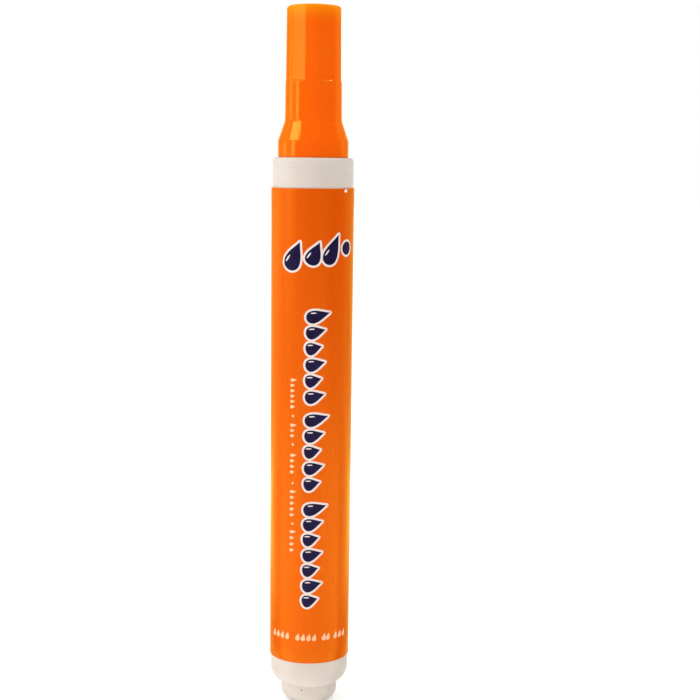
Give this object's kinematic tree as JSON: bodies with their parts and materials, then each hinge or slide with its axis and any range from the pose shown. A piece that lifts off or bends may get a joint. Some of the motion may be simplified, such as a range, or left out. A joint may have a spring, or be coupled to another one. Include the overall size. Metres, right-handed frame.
{
  "type": "stain remover pen",
  "caption": "Slim liquid stain remover pen with a pull-off cap, a felt nib on a spring valve, a labelled barrel and a tail plug.",
  "frame": {"origin": "centre of the tail's foot, on the surface that the pen stands on", "axes": "+Z along the pen towards the cap, -Y towards the picture's camera"},
  "size_m": [0.0164, 0.0164, 0.1398],
  "materials": {
    "white_plastic": "satin",
    "natural_plastic": "satin",
    "orange_plastic": "gloss",
    "label_film": "gloss",
    "nib_felt": "matte",
    "seal_rubber": "matte",
    "spring_steel": "polished",
    "liquid": "gloss"
  },
  "bodies": {
    "barrel": {"barrel": "white_plastic", "label_sleeve": "label_film", "tail_plug": "white_plastic", "front_section": "white_plastic", "valve_body": "natural_plastic", "valve_gasket": "seal_rubber", "valve_spring": "spring_steel", "spring_retainer": "natural_plastic", "cleaning_liquid": "liquid"},
    "cap": {"cap_shell": "orange_plastic", "cap_liner": "natural_plastic"},
    "nib": {"nib": "nib_felt", "valve_plunger": "natural_plastic"}
  },
  "joints": [
    {"name": "cap_pull", "type": "slide", "parent": "barrel", "child": "cap", "axis": [0, 0, 1], "range_m": [0, 0.035]},
    {"name": "nib_press", "type": "slide", "parent": "barrel", "child": "nib", "axis": [0, 0, -1], "range_m": [0, 0.0018], "stiffness_N_per_m": 600, "springref_m": -0.002, "deforming": ["valve_spring"]}
  ]
}
